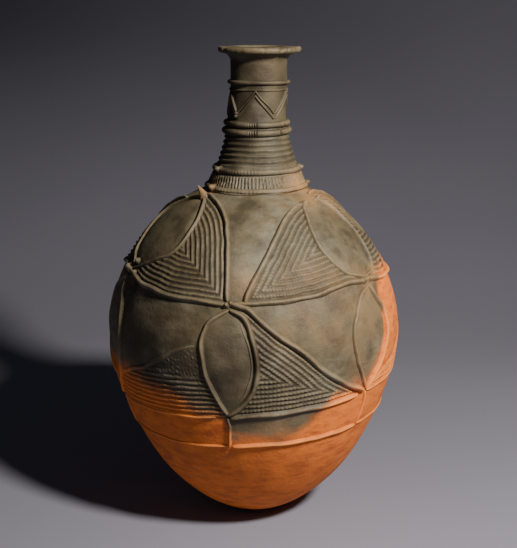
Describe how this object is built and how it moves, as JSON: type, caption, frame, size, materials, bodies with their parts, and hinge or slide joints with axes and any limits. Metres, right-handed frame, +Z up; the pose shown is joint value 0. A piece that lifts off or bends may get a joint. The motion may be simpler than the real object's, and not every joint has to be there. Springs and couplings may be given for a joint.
{
  "type": "clay water pot",
  "caption": "Free-standing hand-built clay pot with a narrow ringed neck, a flat rim and a round smoke-darkened body laid with applied coils in leaf and star patterns.",
  "frame": {"origin": "middle of the small flat worn on the underside, on the pot's turning axis", "axes": "+Z up along the neck, out of the mouth; -Y towards the side with the widest plain leaf; +X to that side's right"},
  "size_m": [0.2858, 0.2876, 0.454],
  "materials": {
    "smoked_clay": "burnished, smoke-blackened, semi-matt",
    "fired_clay": "bare fired terracotta, matt"
  },
  "bodies": {
    "root": {"base_bowl": "fired_clay", "belly_wall": "smoked_clay", "shoulder_wall": "smoked_clay", "neck_tube": "smoked_clay", "rim_disc": "smoked_clay", "throat_ring": "smoked_clay", "throat_bead": "smoked_clay", "notched_ring_upper": "smoked_clay", "notched_ring_lower": "smoked_clay", "shoulder_collar_upper": "smoked_clay", "shoulder_collar_lower": "smoked_clay", "neck_zigzag": "smoked_clay", "band_coil_low": "fired_clay", "band_coil_high": "smoked_clay", "girdle_knob_1": "smoked_clay", "girdle_coil_1": "smoked_clay", "lower_leaf_1": "smoked_clay", "band_tie_1": "fired_clay", "upper_leaf_1": "smoked_clay", "crown_horn_1": "smoked_clay", "girdle_knob_2": "smoked_clay", "girdle_coil_2": "smoked_clay", "lower_leaf_2": "smoked_clay", "band_tie_2": "fired_clay", "sweep_coil_right_2": "smoked_clay", "sweep_coil_left_2": "smoked_clay", "diagonal_coil_right_2": "smoked_clay", "diagonal_coil_left_2": "smoked_clay", "girdle_knob_3": "smoked_clay", "girdle_coil_3": "smoked_clay", "lower_leaf_3": "smoked_clay", "band_tie_3": "fired_clay", "upper_leaf_3": "smoked_clay", "crown_horn_3": "smoked_clay", "girdle_knob_4": "smoked_clay", "girdle_coil_4": "smoked_clay", "lower_leaf_4": "smoked_clay", "band_tie_4": "fired_clay", "sweep_coil_right_4": "smoked_clay", "sweep_coil_left_4": "smoked_clay", "diagonal_coil_right_4": "smoked_clay", "diagonal_coil_left_4": "smoked_clay", "girdle_knob_5": "smoked_clay", "girdle_coil_5": "smoked_clay", "lower_leaf_5": "smoked_clay", "band_tie_5": "fired_clay", "upper_leaf_5": "smoked_clay", "crown_horn_5": "smoked_clay", "girdle_knob_6": "smoked_clay", "girdle_coil_6": "smoked_clay", "lower_leaf_6": "smoked_clay", "band_tie_6": "fired_clay", "sweep_coil_right_6": "smoked_clay", "sweep_coil_left_6": "smoked_clay", "diagonal_coil_right_6": "smoked_clay", "diagonal_coil_left_6": "smoked_clay"}
  },
  "joints": []
}
